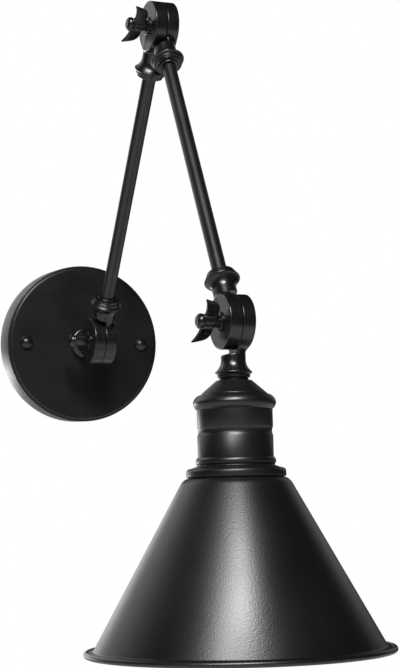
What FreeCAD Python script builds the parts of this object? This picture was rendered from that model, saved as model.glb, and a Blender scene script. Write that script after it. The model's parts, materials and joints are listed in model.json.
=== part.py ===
import FreeCAD, Part
import math
import os

from FreeCAD import Placement, Rotation, Vector

# Accordion wall lamp, in millimetres. The wall is the plane Y = 0 and the lamp reaches out towards -Y.
# +Z is up, and the origin is the centre of the canopy's back, on the wall. Every hinge axis runs along X.
# Each piece is drawn in a frame of its own with its long axis on Z, and is then turned into place.

# Wall plate
CANOPY_RADIUS = 60.0
CANOPY_DEPTH = 22.0
CANOPY_WALL = 1.2
CANOPY_LEDGE = 1.5
CANOPY_STEP = 1.5
STUD_OFFSET = 46.0
STUD_RADIUS = 2.0
CAP_NUT_RADIUS = 4.9
CAP_NUT_HEIGHT = 5.0
CAP_NUT_ROOF = 1.6
BAR_HALF_LENGTH = 54.0
BAR_HALF_WIDTH = 9.0
BAR_THICKNESS = 2.0
BAR_WIRE_HOLE_RADIUS = 7.0
SLOT_OFFSET = 34.925
SLOT_HALF_LENGTH = 7.0
SLOT_HALF_WIDTH = 2.5
GROUND_SCREW_OFFSET = 16.5
GROUND_SCREW_RADIUS = 1.9
DRIVER_SLOT_WIDTH = 0.9

# Swivel knuckles: six castings of one pattern, paired at three hinges
DRUM_RADIUS = 17.1
DISC_WIDTH = 8.5
DISC_EDGE = 0.8
DISC_GAP = 0.3
SHELF_RADIUS = 20.3
NECK_RADIUS = 7.6
NECK_END = 23.2
LIP_RADIUS = 11.4
LIP_DISTANCE = 31.0
STEP_RADIUS = 10.05
STEP_DISTANCE = 34.2
SEAT_RADIUS = 8.9
STEM_LENGTH = 36.0
SOCKET_FLOOR = 22.5
TUBE_BOSS_RADIUS = 7.0
TUBE_BOSS_HEIGHT = 1.3
CHAMBER_DEPTH = 4.5
CHAMBER_RADIUS = 11.5
HUB_RADIUS = 4.9
WIRE_WAY_RADIUS = 2.2
WIRE_WAY_OFFSET = 3.4
RING_INNER_RADIUS = 12.6
RING_OUTER_RADIUS = 15.6
RING_GROOVE = 0.5
RING_SLACK = 0.05

# Arms and threaded nipples
ARM_LENGTH = 245.0
TUBE_RADIUS = 4.75
WIRE_BORE_RADIUS = 3.5
NIPPLE_CLEARANCE = 0.15
LOCK_NUT_FLATS = 14.0
LOCK_NUT_HEIGHT = 3.6
TOOTH_WASHER_RADIUS = 8.5
TOOTH_WASHER_THICKNESS = 1.0

# Wing screws
THREAD_RADIUS = 2.9
THREAD_CLEARANCE = 0.05
SHANK_CLEARANCE = 0.3
SHANK_TIP = 6.8
TAPPED_DEPTH = 7.0
WASHER_RADIUS = 6.2
WASHER_THICKNESS = 1.0
BARREL_RADIUS = 3.9
BARREL_END = 19.5
BUTTON_RADIUS = 4.8
BUTTON_END = 23.8
WING_THICKNESS = 2.6
WING_BEND = (14.1, 11.45)
WING_TIP = (17.6, 22.75)
WING_HOLLOW = (10.5, 20.15)
WING_ROOT = (2.0, 19.75)

# Lamp head, as distances along its axis from the last hinge
CUP_RADIUS = 23.1
CUP_BEAD_RADIUS = 25.35
CUP_END = 84.0
CUP_WALL = 1.2
CUP_GROOVE_DISTANCE = 67.0
CUP_GROOVE_DEPTH = 0.65
COLLAR_TOP = 82.8
COLLAR_RADIUS = 30.4
SHADE_TOP = 94.5
SHADE_WALL = 0.9
SHADE_HOLE_RADIUS = 20.6
SHADE_SHOULDER_RADIUS = 8.0
SHADE_SHOULDER_CENTRE = 27.0
SHADE_HALF_ANGLE = 29.0
SHADE_CONE_END = 195.5
RIM_CENTRE_RADIUS = 92.05
RIM_CENTRE_HEIGHT = 198.2
RIM_ROLL_RADIUS = 1.95
RIM_LEDGE = 1.6
SHADE_RING_RADIUS = 26.5
SHADE_RING_HUB_RADIUS = 22.6
SHADE_RING_HEIGHT = 6.0
HOLDER_RADIUS = 18.0
HOLDER_WALL = 1.6
HOLDER_TOP = 40.8
HOLDER_SEAM = 54.0
HOLDER_THREAD_START = 90.0
HOLDER_THREAD_END = 104.0
HOLDER_THREAD_RADIUS = 19.9
HOLDER_FLOOR = 60.0
HOLDER_END = 108.0
HOLDER_LIP_RADIUS = 18.6
POCKET_RADIUS = 10.0
SHELL_SEAT = 66.0
SHELL_BORE_RADIUS = 13.25
SHELL_WALL = 0.5
SHELL_END = 97.0
TERMINAL_PAD_SIZE = 9.0
TERMINAL_PAD_DEPTH = 1.0
TERMINAL_DISTANCE = 59.0
TERMINAL_HEAD_RADIUS = 3.2
TONGUE_WIDTH = 4.0

# Rest pose, in degrees: arms and head from the vertical, wings from straight up towards -Y
LOWER_ARM_LEAN = 31.1
UPPER_ARM_LEAN = 30.4
HEAD_TILT = 2.9
WING_TURN = {"wall": 80.0, "elbow": 60.0, "head": 45.0}

X_AXIS = Vector(1, 0, 0)
Y_AXIS = Vector(0, 1, 0)
Z_AXIS = Vector(0, 0, 1)
ORIGIN = Vector(0, 0, 0)
LEFT = -1
RIGHT = 1


def section(start, *steps):
    """A closed face in the XZ plane; a step is an end point, or a point on an arc and the arc's end."""
    edges = []
    here = start
    for step in steps + (start,):
        is_arc = isinstance(step[0], tuple)
        end = step[1] if is_arc else step
        a = Vector(here[0], 0, here[1])
        b = Vector(end[0], 0, end[1])
        if is_arc:
            edges.append(Part.Arc(a, Vector(step[0][0], 0, step[0][1]), b).toShape())
        elif a.distanceToPoint(b) > 1e-6:
            edges.append(Part.LineSegment(a, b).toShape())
        here = end
    return Part.Face(Part.Wire(edges))


def turned(start, *steps):
    """A solid of revolution about Z from half its section, in (radius, height) points."""
    return section(start, *steps).revolve(ORIGIN, Z_AXIS, 360)


def rod(radius, low, high):
    """A round bar on Z between two heights."""
    return Part.makeCylinder(radius, high - low, Vector(0, 0, low))


def drill(radius, low, high):
    """A cutter for a hole between two faces that runs a little past both."""
    return rod(radius, low - 1, high + 1)


def moved(shape, x=0.0, y=0.0, z=0.0):
    """A copy of a shape at an offset."""
    out = shape.copy()
    out.translate(Vector(x, y, z))
    return out


def domed_end(radius, low, top):
    """Steps of a section that close a round bar with a spherical cap: mid-arc point and the crown."""
    rise = top - low
    sphere = (radius ** 2 + rise ** 2) / (2 * rise)
    half = math.atan2(radius, sphere - rise) / 2
    return (sphere * math.sin(half), top - sphere + sphere * math.cos(half)), (0, top)


def hex_nut(across_flats, low, high, bore):
    """A hexagon nut on Z with its corners broken by a cone at each face."""
    corner = across_flats / math.sqrt(3)
    points = [Vector(corner * math.cos(math.radians(a)), corner * math.sin(math.radians(a)), low)
              for a in range(0, 361, 60)]
    prism = Part.Face(Part.makePolygon(points)).extrude(Vector(0, 0, high - low))
    bevel = 0.15 * (high - low)
    blank = turned((0, low), (across_flats / 2, low), (corner, low + bevel), (corner, high - bevel),
                   (across_flats / 2, high), (0, high))
    return prism.common(blank).cut(drill(bore, low, high))


def slotted_head(radius, face, height):
    """A round screw head on Z above the face that it clamps, with a driver's slot across it."""
    skirt = face + 0.5 * height
    head = turned((0, face), (radius, face), (radius, skirt), domed_end(radius, skirt, face + height))
    corner = Vector(-radius - 1, -DRIVER_SLOT_WIDTH / 2, face + 0.55 * height)
    return head.cut(Part.makeBox(2 * radius + 2, DRIVER_SLOT_WIDTH, height, corner))


def lay_on_x(shape, side):
    """Turns a piece drawn on Z so that its height runs along +X or -X."""
    out = shape.copy()
    out.rotate(ORIGIN, Y_AXIS, 90 * side)
    return out


def at_hinge(shape, hinge, angle):
    """Turns a piece about X, from straight up towards -Y, and carries it to a hinge centre."""
    out = shape.copy()
    out.Placement = Placement(hinge, Rotation(X_AXIS, angle)).multiply(out.Placement)
    return out


def stand_off_wall(shape):
    """Lays a piece drawn with its back on Z = 0 against the wall, with its front towards -Y."""
    return at_hinge(shape, ORIGIN, 90)


# ---------------------------------------------------------------------------------------------------
# Wall plate: a spun cover held by two domed nuts on studs that stand out of a slotted steel bar
# ---------------------------------------------------------------------------------------------------

def canopy():
    """Spun steel cover, open at the back, whose flat face stands a step proud of a narrow ledge."""
    face = CANOPY_DEPTH
    ledge = face - CANOPY_STEP
    step_radius = CANOPY_RADIUS - CANOPY_LEDGE
    inner = CANOPY_RADIUS - CANOPY_WALL
    outer_round = 0.5
    face_round = CANOPY_STEP - 0.2
    bend = 1 - math.sqrt(0.5)
    shell = turned(
        (CANOPY_RADIUS, 0),
        (CANOPY_RADIUS, ledge - outer_round),
        ((CANOPY_RADIUS - outer_round * bend, ledge - outer_round * bend),
         (CANOPY_RADIUS - outer_round, ledge)),
        (step_radius, ledge),
        (step_radius, face - face_round),
        ((step_radius - face_round * bend, face - face_round * bend),
         (step_radius - face_round, face)),
        (0, face),
        (0, face - CANOPY_WALL),
        (step_radius - CANOPY_WALL, face - CANOPY_WALL),
        (step_radius - CANOPY_WALL, ledge - CANOPY_WALL),
        (inner, ledge - CANOPY_WALL),
        (inner, 0))
    shell = shell.cut(drill(TUBE_RADIUS + NIPPLE_CLEARANCE, 0, face))
    for side in (LEFT, RIGHT):
        shell = shell.cut(moved(drill(STUD_RADIUS + 0.3, 0, face), x=side * STUD_OFFSET))
    return shell


def mounting_bar():
    """Flat steel strap with round ends, a wire hole, two box slots and tapped holes for the studs."""
    straight = BAR_HALF_LENGTH - BAR_HALF_WIDTH
    corner = Vector(-straight, -BAR_HALF_WIDTH, 0)
    bar = Part.makeBox(2 * straight, 2 * BAR_HALF_WIDTH, BAR_THICKNESS, corner)
    bar = bar.cut(drill(BAR_WIRE_HOLE_RADIUS, 0, BAR_THICKNESS))
    bar = bar.cut(moved(drill(GROUND_SCREW_RADIUS, 0, BAR_THICKNESS), x=GROUND_SCREW_OFFSET))
    reach = SLOT_HALF_LENGTH - SLOT_HALF_WIDTH
    for side in (LEFT, RIGHT):
        bar = bar.fuse(moved(rod(BAR_HALF_WIDTH, 0, BAR_THICKNESS), x=side * straight))
        bar = bar.cut(moved(drill(STUD_RADIUS, 0, BAR_THICKNESS), x=side * STUD_OFFSET))
        middle = side * SLOT_OFFSET
        corner = Vector(middle - reach, -SLOT_HALF_WIDTH, -1)
        bar = bar.cut(Part.makeBox(2 * reach, 2 * SLOT_HALF_WIDTH, BAR_THICKNESS + 2, corner))
        for end in (middle - reach, middle + reach):
            bar = bar.cut(moved(drill(SLOT_HALF_WIDTH, 0, BAR_THICKNESS), x=end))
    return bar.removeSplitter()


def both_studs(piece):
    """The same fastener at the left and the right stud, as separate solids of one group."""
    return Part.makeCompound([moved(piece, x=side * STUD_OFFSET) for side in (LEFT, RIGHT)])


def mounting_stud():
    """Threaded stud from the bar's back to inside the cap nut, with a pointed end."""
    tip = CANOPY_DEPTH + CAP_NUT_HEIGHT - CAP_NUT_ROOF - 0.2
    return turned((0, 0), (STUD_RADIUS, 0), (STUD_RADIUS, tip - 0.5), (STUD_RADIUS - 0.5, tip), (0, tip))


def stud_nut():
    """Hexagon nut that locks a stud to the bar."""
    return hex_nut(7.0, BAR_THICKNESS, BAR_THICKNESS + 3.2, STUD_RADIUS)


def cap_nut():
    """Domed nut with a short round foot and a blind hole for the stud."""
    foot = CANOPY_DEPTH
    skirt = foot + 1.1
    top = foot + CAP_NUT_HEIGHT
    dome = turned((0, foot), (CAP_NUT_RADIUS, foot), (CAP_NUT_RADIUS, skirt),
                  domed_end(CAP_NUT_RADIUS, skirt, top))
    return dome.cut(rod(STUD_RADIUS, foot - 1, top - CAP_NUT_ROOF))


def ground_screw():
    """Slotted screw for the earth wire, in the bar beside the wire hole."""
    screw = rod(GROUND_SCREW_RADIUS, 0.2, BAR_THICKNESS).fuse(slotted_head(3.6, BAR_THICKNESS, 2.4))
    return moved(screw, x=GROUND_SCREW_OFFSET)


# ---------------------------------------------------------------------------------------------------
# Swivel knuckles
# ---------------------------------------------------------------------------------------------------

def stem_blank():
    """Turned form of a knuckle's stem: a straight neck that flares to a lip, then two steps to the seat."""
    lip = LIP_DISTANCE
    step = STEP_DISTANCE
    return turned(
        (0, 0),
        (NECK_RADIUS, 0),
        (NECK_RADIUS, NECK_END),
        ((NECK_RADIUS + 0.75, NECK_END + 3.7), (LIP_RADIUS - 1.3, lip - 1.5)),
        (LIP_RADIUS - 0.35, lip - 0.45),
        ((LIP_RADIUS, lip), (LIP_RADIUS - 0.35, lip + 0.6)),
        (STEP_RADIUS, lip + 1.4),
        (STEP_RADIUS, step - 0.4),
        ((STEP_RADIUS - 0.12, step - 0.12), (STEP_RADIUS - 0.4, step)),
        (SEAT_RADIUS, step),
        (SEAT_RADIUS, STEM_LENGTH),
        (0, STEM_LENGTH))


def tube_boss():
    """Small rounded ring round the tube where it enters an arm's knuckle."""
    top = STEM_LENGTH + TUBE_BOSS_HEIGHT
    rim = TUBE_BOSS_RADIUS
    return turned((0, STEM_LENGTH - 1), (rim, STEM_LENGTH - 1), (rim, top - 0.6),
                  ((rim - 0.2, top - 0.15), (rim - 0.6, top)), (0, top))


def knuckle_half(side, holds_tube):
    """One half of a swivel: a drum disc to one side of the parting plane and a stem centred on that plane.

    The hinge axis is X and the stem rises along Z. The part of the stem that would meet the other
    disc is cut away round the hinge axis, which leaves a curved shelf that the other disc turns under.
    The wire way leaves the chamber inside the disc through the half's own side of the stem.
    The left half has the clearance hole of the wing screw and the right half has its blind tapped hole.
    """
    face = DISC_GAP / 2
    edge = DISC_EDGE
    disc = turned(
        (0, face),
        (DRUM_RADIUS - 0.3, face),
        (DRUM_RADIUS, face + 0.3),
        (DRUM_RADIUS, DISC_WIDTH - edge),
        ((DRUM_RADIUS - 0.3 * edge, DISC_WIDTH - 0.3 * edge), (DRUM_RADIUS - edge, DISC_WIDTH)),
        (0, DISC_WIDTH))
    stem = stem_blank()
    if holds_tube:
        stem = stem.fuse(tube_boss())
    swing = rod(SHELF_RADIUS, -DISC_WIDTH, face)
    half = stem.cut(lay_on_x(swing, side)).fuse(lay_on_x(disc, side))
    chamber = rod(CHAMBER_RADIUS, 0, face + CHAMBER_DEPTH).cut(drill(HUB_RADIUS, 0, DISC_WIDTH))
    half = half.cut(lay_on_x(chamber, side))
    wire_way = rod(WIRE_WAY_RADIUS, CHAMBER_RADIUS - 2.5, SOCKET_FLOOR + 1)
    half = half.cut(moved(wire_way, x=side * WIRE_WAY_OFFSET))
    half = half.cut(rod(TUBE_RADIUS, SOCKET_FLOOR, STEM_LENGTH + TUBE_BOSS_HEIGHT + 1))
    if side == LEFT:
        hole = drill(THREAD_RADIUS + SHANK_CLEARANCE, 0, DISC_WIDTH)
    else:
        hole = rod(THREAD_RADIUS + THREAD_CLEARANCE, -1, TAPPED_DEPTH)
        groove = rod(RING_OUTER_RADIUS + 0.1, 0, face + RING_GROOVE)
        groove = groove.cut(drill(RING_INNER_RADIUS - 0.1, 0, DISC_WIDTH))
        half = half.cut(lay_on_x(groove, side))
    return half.cut(lay_on_x(hole, side)).removeSplitter()


def friction_ring():
    """Fibre ring that lies in the right half's groove and rubs on the left half."""
    floor = DISC_GAP / 2 + RING_GROOVE
    rubbing_face = -DISC_GAP / 2 + RING_SLACK
    ring = rod(RING_OUTER_RADIUS, rubbing_face, floor).cut(drill(RING_INNER_RADIUS, rubbing_face, floor))
    return lay_on_x(ring, RIGHT)


def wing_screw():
    """Screw with a barrel, a button end and two ear-shaped wings, with its head towards -X."""
    seat = DISC_WIDTH + RING_SLACK + WASHER_THICKNESS
    body = turned(
        (0, -SHANK_TIP),
        (THREAD_RADIUS - 0.6, -SHANK_TIP),
        (THREAD_RADIUS, 0.6 - SHANK_TIP),
        (THREAD_RADIUS, seat),
        (BARREL_RADIUS, seat),
        (BARREL_RADIUS, BARREL_END),
        ((BUTTON_RADIUS - 0.2, BARREL_END + 0.5), (BUTTON_RADIUS, BARREL_END + 1.2)),
        (BUTTON_RADIUS, BUTTON_END - 2.2),
        ((BUTTON_RADIUS - 0.8, BUTTON_END - 0.75), (BUTTON_RADIUS - 2.8, BUTTON_END)),
        (0, BUTTON_END))
    wing = section((WING_ROOT[0], WING_BEND[1]), WING_BEND, WING_TIP, (WING_HOLLOW, WING_ROOT))
    wing = moved(wing, y=-WING_THICKNESS / 2).extrude(Vector(0, WING_THICKNESS, 0))
    for corner, radius in ((WING_BEND, 8.0), (WING_TIP, 0.8)):
        across = [edge for edge in wing.Edges
                  if edge.CenterOfMass.distanceToPoint(Vector(corner[0], 0, corner[1])) < 0.1]
        wing = wing.makeFillet(radius, across)
    rims = [edge for edge in wing.Edges if edge.BoundBox.YLength < 0.01 and edge.BoundBox.XMax > 3]
    wing = wing.makeFillet(0.7, rims)
    other = wing.copy()
    other.rotate(ORIGIN, Z_AXIS, 180)
    return lay_on_x(body.fuse([wing, other]), LEFT).removeSplitter()


def screw_washer():
    """Flat washer between the wing screw's barrel and the left drum face."""
    low = DISC_WIDTH + RING_SLACK
    high = low + WASHER_THICKNESS
    bore = THREAD_RADIUS + 0.2
    washer = turned((bore, low), (WASHER_RADIUS, low), (WASHER_RADIUS, high - 0.3),
                    (WASHER_RADIUS - 0.3, high), (bore, high))
    return lay_on_x(washer, LEFT)


# ---------------------------------------------------------------------------------------------------
# Arms and the threaded nipples that hold the end knuckles
# ---------------------------------------------------------------------------------------------------

def arm_tube():
    """Drawn steel tube between the sockets of an arm's two knuckles."""
    low = SOCKET_FLOOR
    high = ARM_LENGTH - SOCKET_FLOOR
    return rod(TUBE_RADIUS, low, high).cut(drill(WIRE_BORE_RADIUS, low, high))


def nipple(end):
    """Hollow threaded stud from a knuckle's socket floor to a given distance from the hinge."""
    low = SOCKET_FLOOR
    bar = turned((0, low), (TUBE_RADIUS, low), (TUBE_RADIUS, end - 0.5), (TUBE_RADIUS - 0.5, end), (0, end))
    return bar.cut(drill(WIRE_BORE_RADIUS, low, end))


def lock_nut(low):
    """Thin hexagon nut on a nipple."""
    return hex_nut(LOCK_NUT_FLATS, low, low + LOCK_NUT_HEIGHT, TUBE_RADIUS)


def tooth_washer(low):
    """Internal-tooth lock washer, drawn as its flat ring with a notch between each pair of teeth."""
    high = low + TOOTH_WASHER_THICKNESS
    teeth = 10
    bore = TUBE_RADIUS + 0.35
    ring = rod(TOOTH_WASHER_RADIUS, low, high).cut(drill(bore, low, high))
    notch = Part.makeBox(1.6, 1.2, 3, Vector(bore - 0.2, -0.6, low - 1))
    for _ in range(teeth):
        ring = ring.cut(notch)
        notch.rotate(ORIGIN, Z_AXIS, 360 / teeth)
    return ring


# ---------------------------------------------------------------------------------------------------
# Lamp head, drawn with the hinge at the origin and the shade's mouth towards +Z
# ---------------------------------------------------------------------------------------------------

def socket_cup():
    """Spun cup over the lampholder: sloping top, rolled bead, straight side with a shallow groove."""
    hole = TUBE_RADIUS + NIPPLE_CLEARANCE
    inner = CUP_RADIUS - CUP_WALL
    top = STEM_LENGTH
    slope_end = top + 7.9
    groove = CUP_GROOVE_DISTANCE
    return turned(
        (hole, top),
        (11.0, top),
        ((15.7, top + 4.1), (20.0, slope_end)),
        (20.2, slope_end + 0.5),
        (20.6, slope_end + 0.6),
        ((23.9, slope_end + 2.5), (CUP_BEAD_RADIUS, slope_end + 5.3)),
        ((CUP_BEAD_RADIUS - 0.55, slope_end + 7.7), (CUP_RADIUS, slope_end + 9.8)),
        (CUP_RADIUS, groove - 2.6),
        ((CUP_RADIUS - CUP_GROOVE_DEPTH, groove), (CUP_RADIUS, groove + 2.6)),
        (CUP_RADIUS, CUP_END),
        (inner, CUP_END),
        (inner, slope_end + 3.5),
        (19.4, slope_end + 1.2),
        ((15.0, top + 5.25), (10.4, top + CUP_WALL)),
        (hole, top + CUP_WALL))


def shade_collar():
    """Turned collar between cup and shade: a rounded band over the cup's end, then a flare to a flange."""
    groove = CUP_RADIUS + 0.5
    band_end = COLLAR_TOP + 4.1
    flare_end = SHADE_TOP - 3.0
    return turned(
        (CUP_RADIUS, COLLAR_TOP),
        (CUP_RADIUS + 0.6, COLLAR_TOP),
        ((CUP_RADIUS + 1.35, COLLAR_TOP + 2.1), (CUP_RADIUS + 0.7, band_end)),
        (groove, band_end + 0.1),
        (groove, band_end + 0.7),
        ((COLLAR_RADIUS - 4.5, flare_end - 2.9), (COLLAR_RADIUS - 1.8, flare_end - 2.2)),
        ((COLLAR_RADIUS - 0.5, flare_end - 1.4), (COLLAR_RADIUS, flare_end)),
        (COLLAR_RADIUS, SHADE_TOP - 0.6),
        ((COLLAR_RADIUS - 0.2, SHADE_TOP - 0.2), (COLLAR_RADIUS - 0.6, SHADE_TOP)),
        (SHADE_HOLE_RADIUS, SHADE_TOP),
        (SHADE_HOLE_RADIUS, CUP_END),
        (CUP_RADIUS, CUP_END))


def shade_wall(inset):
    """Shoulder start, shoulder middle, shoulder end and cone end of one face of the shade's sheet."""
    slope = math.radians(SHADE_HALF_ANGLE)
    radius = SHADE_SHOULDER_RADIUS - inset
    height = SHADE_TOP + SHADE_SHOULDER_RADIUS
    shoulder = [(SHADE_SHOULDER_CENTRE + radius * math.cos(a), height - radius * math.sin(a))
                for a in (math.pi / 2, math.pi / 4 + slope / 2, slope)]
    cone_end = SHADE_CONE_END + inset
    run = (cone_end - shoulder[2][1]) * math.tan(slope)
    return (*shoulder, (shoulder[2][0] + run, cone_end))


def shade():
    """Spun steel cone: flat top, rounded shoulder, straight side, narrow ledge and a rolled rim."""
    start, through, end, cone_end = shade_wall(0)
    inner_start, inner_through, inner_end, inner_cone_end = shade_wall(SHADE_WALL)
    ledge = RIM_CENTRE_HEIGHT - RIM_LEDGE
    sheet = turned(
        (SHADE_HOLE_RADIUS, SHADE_TOP),
        start,
        (through, end),
        cone_end,
        ((cone_end[0] + 0.45, ledge - 0.25), (cone_end[0] + 1.1, ledge)),
        (RIM_CENTRE_RADIUS, ledge),
        (RIM_CENTRE_RADIUS, ledge + SHADE_WALL),
        (cone_end[0] + 0.6, ledge + SHADE_WALL),
        inner_cone_end,
        inner_end,
        (inner_through, inner_start),
        (SHADE_HOLE_RADIUS, SHADE_TOP + SHADE_WALL))
    roll = Part.makeTorus(RIM_CENTRE_RADIUS, RIM_ROLL_RADIUS, Vector(0, 0, RIM_CENTRE_HEIGHT), Z_AXIS)
    return sheet.fuse(roll)


def shade_ring():
    """Threaded ring on the lampholder that clamps shade, collar and cup against the knuckle."""
    low = SHADE_TOP + SHADE_WALL
    high = low + SHADE_RING_HEIGHT
    rim = SHADE_RING_RADIUS
    return turned(
        (HOLDER_THREAD_RADIUS, low),
        (rim, low),
        (rim, low + 1.4),
        (rim - 0.6, low + 2.0),
        (SHADE_RING_HUB_RADIUS, low + 2.4),
        (SHADE_RING_HUB_RADIUS, high),
        (HOLDER_THREAD_RADIUS, high))


def lampholder_cap():
    """Moulded cap that screws onto the nipple and covers the terminals."""
    hub = 7.6
    top = HOLDER_TOP
    roof = HOLDER_SEAM - 7.6
    inner = HOLDER_RADIUS - HOLDER_WALL
    return turned(
        (TUBE_RADIUS, top),
        (hub, top),
        (hub, top + 2.6),
        (HOLDER_RADIUS - 2.4, roof),
        ((HOLDER_RADIUS - 0.6, roof + 1.0), (HOLDER_RADIUS, roof + 2.8)),
        (HOLDER_RADIUS, HOLDER_SEAM),
        (inner, HOLDER_SEAM),
        (inner, roof + 3.4),
        (inner - 1.6, roof + 1.5),
        (hub - 0.6, top + 4.2),
        (TUBE_RADIUS, top + 4.2))


def lampholder_body():
    """Moulded holder: a pocket for the contact, a bore for the shell and a thread for the shade ring."""
    bore = SHELL_BORE_RADIUS + SHELL_WALL
    lip = HOLDER_LIP_RADIUS
    body = turned(
        (0, HOLDER_SEAM),
        (HOLDER_RADIUS, HOLDER_SEAM),
        (HOLDER_RADIUS, HOLDER_THREAD_START - 2.0),
        (HOLDER_THREAD_RADIUS, HOLDER_THREAD_START),
        (HOLDER_THREAD_RADIUS, HOLDER_THREAD_END),
        (lip, HOLDER_THREAD_END + 1.0),
        (lip, HOLDER_END - 0.8),
        (lip - 0.8, HOLDER_END),
        (bore + 1.45, HOLDER_END),
        (bore + 0.65, SHELL_END + 1.0),
        (bore, SHELL_END),
        (bore, SHELL_SEAT),
        (POCKET_RADIUS, SHELL_SEAT),
        (POCKET_RADIUS, HOLDER_FLOOR),
        (0, HOLDER_FLOOR))
    size = TERMINAL_PAD_SIZE
    corner = Vector(HOLDER_RADIUS - TERMINAL_PAD_DEPTH, -size / 2, TERMINAL_DISTANCE - size / 2)
    pad = Part.makeBox(3, size, size, corner)
    for _ in (RIGHT, LEFT):
        body = body.cut(pad)
        pad.rotate(ORIGIN, Z_AXIS, 180)
    return body


def screw_shell():
    """Drawn brass shell for the bulb's cap, with a narrow flange on the ledge round the pocket."""
    outer = SHELL_BORE_RADIUS + SHELL_WALL
    flange = SHELL_SEAT + SHELL_WALL
    return turned((POCKET_RADIUS, SHELL_SEAT), (outer, SHELL_SEAT), (outer, SHELL_END),
                  (SHELL_BORE_RADIUS, SHELL_END), (SHELL_BORE_RADIUS, flange), (POCKET_RADIUS, flange))


def centre_contact():
    """Folded brass tongue on the floor of the holder's pocket, sprung up towards the bulb."""
    floor = HOLDER_FLOOR
    sheet = 0.7
    tongue = section(
        (-3.6, floor),
        (1.6, floor),
        ((3.3, floor + 1.2), (2.4, floor + 3.2)),
        (-1.6, floor + 6.2),
        (-2.1, floor + 5.6),
        (1.8, floor + 2.7),
        ((2.3, floor + 1.4), (1.4, floor + sheet)),
        (-3.6, floor + sheet))
    return moved(tongue, y=-TONGUE_WIDTH / 2).extrude(Vector(0, TONGUE_WIDTH, 0))


def terminal_screws():
    """Two binding screws on the flat pads at the sides of the lampholder."""
    head = slotted_head(TERMINAL_HEAD_RADIUS, HOLDER_RADIUS - TERMINAL_PAD_DEPTH, 2.5)
    return Part.makeCompound([moved(lay_on_x(head, side), z=TERMINAL_DISTANCE) for side in (LEFT, RIGHT)])


# ---------------------------------------------------------------------------------------------------
# Assembly at rest
# ---------------------------------------------------------------------------------------------------

def direction(angle):
    """Unit vector at an angle from straight up, turning towards -Y."""
    return Vector(0, -math.sin(math.radians(angle)), math.cos(math.radians(angle)))


wall_stem_angle = -90.0
lower_angle = LOWER_ARM_LEAN
upper_angle = 180.0 - UPPER_ARM_LEAN
head_angle = 180.0 - HEAD_TILT
wall_hinge = Vector(0, -(CANOPY_DEPTH + STEM_LENGTH), 0)
elbow_hinge = wall_hinge + direction(lower_angle) * ARM_LENGTH
head_hinge = elbow_hinge + direction(upper_angle) * ARM_LENGTH
hinges = {"wall": wall_hinge, "elbow": elbow_hinge, "head": head_hinge}

wall_washer_low = STEM_LENGTH + CANOPY_WALL
wall_nut_low = wall_washer_low + TOOTH_WASHER_THICKNESS
wall_nipple_end = wall_nut_low + LOCK_NUT_HEIGHT + 2.4
head_nut_low = STEM_LENGTH + CUP_WALL
head_nipple_end = HOLDER_TOP + 3.8

in_wall_plate = {
    "canopy": canopy(),
    "mounting_bar": mounting_bar(),
    "mounting_studs": both_studs(mounting_stud()),
    "stud_nuts": both_studs(stud_nut()),
    "cap_nuts": both_studs(cap_nut()),
    "ground_screw": ground_screw(),
}
on_wall_stub = {
    "wall_knuckle": knuckle_half(LEFT, False),
    "wall_nipple": nipple(wall_nipple_end),
    "wall_tooth_washer": tooth_washer(wall_washer_low),
    "wall_lock_nut": lock_nut(wall_nut_low),
}
in_lamp_head = {
    "head_knuckle": knuckle_half(RIGHT, False),
    "head_nipple": nipple(head_nipple_end),
    "head_lock_nut": lock_nut(head_nut_low),
    "socket_cup": socket_cup(),
    "lampholder_cap": lampholder_cap(),
    "lampholder_body": lampholder_body(),
    "terminal_screws": terminal_screws(),
    "screw_shell": screw_shell(),
    "centre_contact": centre_contact(),
    "shade_collar": shade_collar(),
    "shade": shade(),
    "shade_ring": shade_ring(),
}

nodes = {
    "lower_arm_base_knuckle": at_hinge(knuckle_half(RIGHT, True), wall_hinge, lower_angle),
    "lower_arm_tube": at_hinge(arm_tube(), wall_hinge, lower_angle),
    "lower_arm_elbow_knuckle": at_hinge(knuckle_half(LEFT, True), elbow_hinge, lower_angle + 180),
    "upper_arm_elbow_knuckle": at_hinge(knuckle_half(RIGHT, True), elbow_hinge, upper_angle),
    "upper_arm_tube": at_hinge(arm_tube(), elbow_hinge, upper_angle),
    "upper_arm_head_knuckle": at_hinge(knuckle_half(LEFT, True), head_hinge, upper_angle + 180),
}
for name, shape in in_wall_plate.items():
    nodes[name] = stand_off_wall(shape)
for name, shape in on_wall_stub.items():
    nodes[name] = at_hinge(shape, wall_hinge, wall_stem_angle)
for name, shape in in_lamp_head.items():
    nodes[name] = at_hinge(shape, head_hinge, head_angle)
for name, hinge in hinges.items():
    nodes[name + "_friction_ring"] = at_hinge(friction_ring(), hinge, 0)
    nodes[name + "_screw_washer"] = at_hinge(screw_washer(), hinge, 0)
    nodes[name + "_wing_screw"] = at_hinge(wing_screw(), hinge, WING_TURN[name])

os.makedirs("parts", exist_ok=True)
for name, shape in nodes.items():
    shape.exportStep(os.path.join("parts", name + ".step"))
    print(f"{name:26} valid {shape.isValid()}  solids {len(shape.Solids)}  volume {shape.Volume:9.1f}")
for name, hinge in hinges.items():
    print(f"{name} hinge at Y {hinge.y:.3f}, Z {hinge.z:.3f}")
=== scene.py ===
import json
import math

import bpy
import numpy as np
from mathutils import Matrix, Vector


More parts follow.
